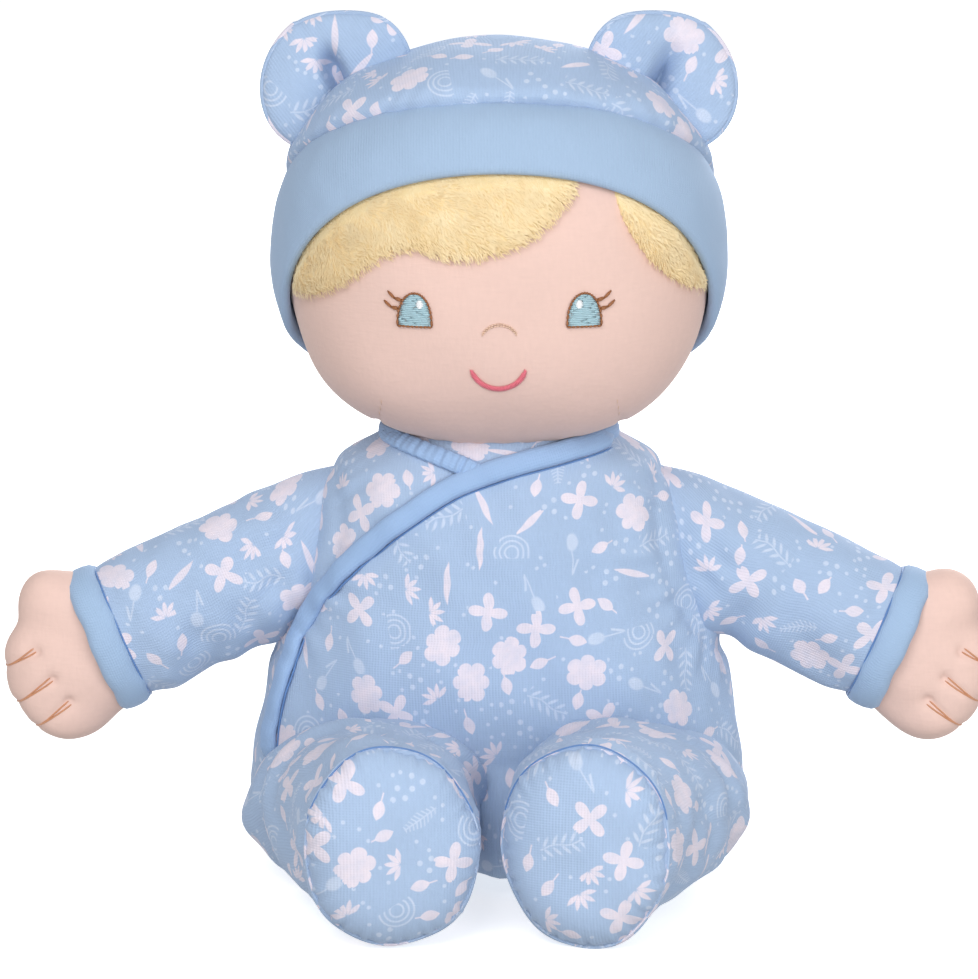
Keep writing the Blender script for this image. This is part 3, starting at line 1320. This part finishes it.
def make_ear(name, side):
    """A stuffed disc, pinched where it meets the bonnet so that it cups forward."""
    ring = np.concatenate([np.linspace(0.02, 0.9, 40), np.linspace(0.92, 1.0, 10)])[:, None]
    turn = full_turn(140)[None]
    along, out = 22.0 * ring * np.sin(turn), 19.2 * ring * np.cos(turn) + 5.4
    out = out - 2.4 * ring**2 * bump(turn - TAU + 0.75, 0.55)
    out = np.where(out < -5, -5 - 2.0 * (1 - np.exp((out + 5) / 4)), out)
    thick = 5.6 * np.sqrt(np.clip(1 - ring**2.4, 0, 1))
    cup = 6.0 * (np.abs(along) / 20) ** 1.3 * (1 - 0.6 * ramp(out, 4, 24)) - 2.4
    crease = 8.5 * bump(along + 0.25 * out - 1, 2.7) * (1 - ramp(out, 5, 19))

    def face(way):
        depth = cup + way * thick - (crease if way > 0 else -0.3 * crease)
        return placed(EAR_ROOT, (EAR_ALONG, EAR_OUT, TO_FRONT), (along, out, depth))

    flat = np.stack([along + 0 * ring, out], -1)
    uv = closed(flat)
    shape = Shape()
    for way, start in ((1, 900), (-1, 1000)):
        points = face(way)
        lift = 0.45 * lumps(points, 17, 400 + side + way)
        pucker = np.sin(turn * 25 + side) * bump((1 - ring) * 20, 3.5)
        points = push(points, (lift + 0.25 * pucker) * (1 - ring**8))
        if way > 0:
            points, place = points[::-1], uv[::-1]
        else:
            points, place = points[::-1, ::-1], uv[::-1, ::-1]
        shape.grid(points, True, place + [start * side, 0], caps=(False, True))
    edge = face(1)[-1]
    shape.grid(tube_ring(edge, 0.8), True)
    obj = shape.build(f"ear_suit_{name}", [PRINT], side)
    print_motifs(obj, 410 + side)
    finish_piece(
        obj, f"ear_{name}", (f"ear_cover_{name}", f"ear_filling_{name}")
    )


# ---------------------------------------------------------------- embroidery
def stitch(shape, tree, start, end, radius, slot, lift, samples=6, arch=0.12):
    """One thread between two (x, z) points on the front of a mesh."""
    line = []
    for t in np.linspace(0, 1, samples):
        x = start[0] + (end[0] - start[0]) * t
        z = start[1] + (end[1] - start[1]) * t
        point, _ = on_front(tree, x, z, lift + arch * math.sin(math.pi * t))
        line.append(point)
    shape.grid(tube(line, radius), True, slot=slot, caps=(True, True))


def make_eye(name, side, tree):
    """Satin rows of iris thread in a dome, a dashed brown outline, lashes and a glint."""
    shape = Shape()
    base_x, base_z = middle_mm(f"eye_{name}")[0], box_mm(f"eye_{name}")[0][2]
    half, tall = 4.7, 9.4
    rng = np.random.default_rng(500 + side)

    def width_at(h):
        return half * (1 - max(h / tall, 0) ** 2.6) ** 0.5

    for h in np.arange(0.4, tall - 0.3, 0.52):
        w = width_at(h) - 0.25
        cuts = sorted([-w, rng.uniform(-w, w), w])
        for a, b in zip(cuts, cuts[1:]):
            if b - a > 0.4:
                stitch(shape, tree, (base_x + a, base_z + h), (base_x + b, base_z + h), 0.31, 0, 0.22)
    outline = [(x, 0.0) for x in np.linspace(-half, half, 9)]
    turns = np.linspace(0, math.pi, 22)
    arc = [(half * math.cos(a), tall * max(math.sin(a), 0) ** 0.8) for a in turns]
    loop = outline + arc[1:]
    for a, b in zip(loop, loop[1:]):
        start = (base_x + a[0], base_z + a[1])
        end = (base_x + b[0] * 0.98 + 0.02 * a[0], base_z + b[1])
        stitch(shape, tree, start, end, 0.34, 1, 0.42, 4, 0.2)
    for start, end in (((3.5, 7.2), (7.4, 9.6)), ((4.4, 4.8), (8.4, 6.9))):
        for shift in (-0.22, 0.22):
            a = (base_x + side * start[0], base_z + start[1] + shift)
            b = (base_x + side * end[0], base_z + end[1] + shift * 0.4)
            c = ((a[0] + b[0]) / 2, (a[1] + b[1]) / 2 - 0.7)
            stitch(shape, tree, a, c, 0.36, 1, 0.35, 4)
            stitch(shape, tree, c, b, 0.34, 1, 0.35, 4)
    glint_x, glint_z = base_x - 1.4 * side, base_z + 6.3
    for dz in np.arange(-0.9, 1.0, 0.45):
        w = math.sqrt(max(1.0 - (dz / 1.15) ** 2, 0.05)) * 1.05
        stitch(shape, tree, (glint_x - w, glint_z + dz), (glint_x + w, glint_z + dz), 0.3, 2, 0.55, 4)
    obj = shape.build(f"eye_threads_{name}", [IRIS_THREAD, BROWN_THREAD, WHITE_THREAD])
    finish_piece(obj, "head", (f"eye_{name}",))


def arc_through(a, b, c, count):
    """Points (x, z) on the circle through three points, from a to c."""
    (ax, az), (bx, bz), (cx, cz) = a, b, c
    d = 2 * (ax * (bz - cz) + bx * (cz - az) + cx * (az - bz))
    a2, b2, c2 = ax**2 + az**2, bx**2 + bz**2, cx**2 + cz**2
    ux = (a2 * (bz - cz) + b2 * (cz - az) + c2 * (az - bz)) / d
    uz = (a2 * (cx - bx) + b2 * (ax - cx) + c2 * (bx - ax)) / d
    start, mid, end = (math.atan2(z - uz, x - ux) for x, z in (a, b, c))
    r = math.hypot(ax - ux, az - uz)
    while abs(mid - start) > math.pi:
        mid += TAU if mid < start else -TAU
    while abs(end - mid) > math.pi:
        end += TAU if end < mid else -TAU
    turn = np.linspace(start, end, count)
    return np.stack([ux + r * np.cos(turn), uz + r * np.sin(turn)], 1)


def make_mouth(tree):
    """A smile of slanted satin stitches."""
    low, high = box_mm("mouth_stitching")
    middle, top = (low[0] + high[0]) / 2 - 0.2, high[2] - 0.4
    count = 48
    arc = arc_through((low[0] + 0.8, top), (middle, low[2] + 0.8), (high[0] - 0.8, top), count)
    way = np.gradient(arc, axis=0)
    way /= np.linalg.norm(way, axis=1)[:, None]
    side = np.stack([-way[:, 1], way[:, 0]], 1)
    shape = Shape()
    for i, (p, s, w) in enumerate(zip(arc, side, way)):
        half = 0.82 * (0.55 + 0.45 * ramp(min(i, count - 1 - i), 0, 4))
        stitch(shape, tree, p - s * half - w * 0.25, p + s * half + w * 0.25, 0.2, 0, 0.28, 5, 0.3)
    obj = shape.build("mouth_threads", [PINK_THREAD])
    finish_piece(obj, "head", ("mouth_stitching",))


def make_nose(tree):
    """Two rows of stitches over the nose, and the short ones in the tucks."""
    low, high = box_mm("nose_stitching")
    middle = (low[0] + high[0]) / 2
    foot = low[2] + 0.3
    ends = ((low[0] + 0.3, foot), (middle, high[2] - 0.3), (high[0] - 0.3, foot))
    shape = Shape()
    for shift in (-0.28, 0.3):
        arc = arc_through(*ends, 15) + [0, shift]
        for a, b in zip(arc, arc[1:]):
            stitch(shape, tree, a, a + (b - a) * 0.9, 0.22, 0, 0.16, 4, 0.1)
    for side in SIDES.values():
        for k in range(3):
            z = DARTS[1] + 4.4 - k * 2.2
            x = side * (DARTS[0] + 0.15 * (DARTS[1] - z))
            stitch(shape, tree, (x, z), (x, z - 1.6), 0.14, 0, 0.05, 3, 0.05)
    obj = shape.build("nose_threads", [BEIGE_THREAD])
    finish_piece(obj, "head", ("nose_stitching",))


def make_spring():
    """The push button's coil, which shortens as the button goes in."""
    low, high = box_mm("button_spring")
    wire, turns = 0.22, 5
    middle, radius = (low + high) / 2, (high[0] - low[0]) / 2 - wire
    s = np.linspace(0, 1, 220)
    y = low[1] + wire + s * (high[1] - low[1] - 2 * wire)
    turn = s * TAU * turns
    line = np.stack([middle[0] + radius * np.cos(turn), y, middle[2] + radius * np.sin(turn)], -1)
    shape = Shape().grid(tube(line, wire, 8), True, caps=(True, True))
    obj = shape.build("button_coil", [plastic("spring_steel", (0.62, 0.63, 0.65, 1), 0.3, 1.0)])
    finish_piece(obj, "torso", ("button_spring",))
    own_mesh(obj)


# ---------------------------------------------------------------- CAD nodes that show
def paint(node, material):
    """Gives a CAD node a better material."""
    obj = frame["nodes"][node]
    obj.data.materials.clear()
    obj.data.materials.append(material)
    for polygon in obj.data.polygons:
        polygon.use_smooth = True


def paint_nodes():
    white = plastic("white_case", (0.82, 0.82, 0.80, 1))
    red = plastic("red_button", (0.65, 0.08, 0.07, 1), 0.35)
    black = plastic("black_speaker", (0.03, 0.03, 0.03, 1), 0.6)
    green = plastic("green_board", (0.03, 0.2, 0.07, 1), 0.4)
    steel = plastic("plated_steel", (0.62, 0.62, 0.63, 1), 0.3, 1.0)
    tape = plain_cloth("fastener_tape", srgb(228, 232, 238))
    groups = [
        (white, ["module_case_front", "module_case_back", "battery_door"]),
        (red, ["push_button"]),
        (black, ["speaker_frame", "speaker_cone"]),
        (green, ["circuit_board"]),
        (steel, ["module_screws", "battery_contacts", "button_cells"]),
        (tape, ["hook_tape", "loop_tape"]),
        (LINING, ["module_pouch", "pellet_bag"]),
        (PLAIN, ["seat_gusset"]),
        (SKIN, ["neck_cover", "neck_filling"]),
    ]
    for material, nodes in groups:
        for node in nodes:
            paint(node, material)


# ---------------------------------------------------------------- stage
FLOOR_HALF_WIDTH = 25.0


def make_stage():
    """A wide white floor."""
    white, _, shader = new_material("studio_white")
    shader.inputs["Base Color"].default_value = (0.93, 0.93, 0.93, 1)
    shader.inputs["Roughness"].default_value = 0.8
    shader.inputs["Specular IOR Level"].default_value = 0.1
    shader.inputs["Emission Color"].default_value = (1, 1, 1, 1)
    shader.inputs["Emission Strength"].default_value = 0.55
    half = FLOOR_HALF_WIDTH / MM
    corners = [[(x, y, -0.2) for x in (-half, half)] for y in (-half, half)]
    floor = Shape().grid(np.array(corners)).build("studio_floor", [white])
    floor.visible_diffuse = False


def add_light(name, place, target, size, power):
    """A white rectangular light in watts, turned to its target."""
    data = bpy.data.lights.new(name, "AREA")
    data.shape, data.size, data.size_y = "RECTANGLE", size[0], size[1]
    data.energy = power
    light = bpy.data.objects.new(name, data)
    light.location = place
    light.rotation_euler = (Vector(target) - Vector(place)).to_track_quat("-Z", "Y").to_euler()
    bpy.context.scene.collection.objects.link(light)


def whiten_backdrop(tree, background):
    """The camera sees plain white above the floor's horizon; the light stays as it is."""
    seen = tree.nodes.new("ShaderNodeBackground")
    seen.inputs[0].default_value = (1, 1, 1, 1)
    seen.inputs[1].default_value = 1.0
    choice, rays = tree.nodes.new("ShaderNodeMixShader"), tree.nodes.new("ShaderNodeLightPath")
    link(tree, rays.outputs["Is Camera Ray"], choice.inputs[0])
    link(tree, background.outputs[0], choice.inputs[1])
    link(tree, seen.outputs[0], choice.inputs[2])
    link(tree, choice.outputs[0], tree.nodes["World Output"].inputs[0])


def make_studio():
    scene = bpy.context.scene
    world = bpy.data.worlds.new("studio")
    scene.world = world
    world.use_nodes = True
    background = world.node_tree.nodes["Background"]
    background.inputs[0].default_value = (1, 1, 1, 1)
    background.inputs[1].default_value = 0.5
    whiten_backdrop(world.node_tree, background)
    middle = (0, 0, 0.12)
    add_light("key", (-0.5, -1.4, 1.2), middle, (0.9, 0.9), 13.5)
    add_light("fill", (0.9, -1.4, 0.6), middle, (1.0, 1.0), 10)
    add_light("low", (0.0, -1.5, 0.12), (0, 0, 0.14), (1.2, 0.5), 6)
    add_light("back", (0.5, 1.5, 0.7), middle, (1.2, 1.0), 24)
    scene.view_settings.view_transform = "Standard"
    scene.view_settings.look = "None"
    camera = bpy.data.cameras.new("photo_view")
    camera.sensor_width, camera.lens = 36.0, 179.4
    eye = bpy.data.objects.new("photo_view", camera)
    elevation, distance = math.radians(12), 1.4
    target = Vector((-0.00287, 0, 0.102))
    eye.location = target + Vector((0, -math.cos(elevation), math.sin(elevation))) * distance
    eye.rotation_euler = (target - eye.location).to_track_quat("-Z", "Y").to_euler()
    scene.collection.objects.link(eye)
    scene.camera = eye


# ---------------------------------------------------------------- all together
FRINGE_EDGE = [
    (-57.5, 163), (-50, 164.5), (-42, 169.5), (-34, 175.5), (-25, 179.5), (-15, 177.5),
    (-5, 178), (5, 181), (13, 187), (20, 195),
]  # fmt: skip
SIDE_EDGE = [(31, 196), (34, 187), (39.5, 178), (46, 171), (52, 166.5), (58, 163.5)]


def main():
    body = make_torso()
    make_binding(body)
    make_flap()
    for name, side in SIDES.items():
        make_sleeve(name, side)
        make_cuff(name, side)
        hand = make_hand(name, side)
        make_finger_threads(name, side, hand)
        make_leg(name, side)
        make_sole(name, side)
        make_ear(name, side)
    face = make_head()
    make_hair("fringe_pile", "hair_fringe", FRINGE_EDGE, (0.8, -0.6), 15000, 600)
    make_hair("side_pile", "hair_side", SIDE_EDGE, (0.55, -0.85), 6500, 610)
    make_band()
    make_crown()
    for name, side in SIDES.items():
        make_eye(name, side, face)
    make_mouth(face)
    make_nose(face)
    make_spring()
    paint_nodes()
    make_stage()
    make_studio()


main()
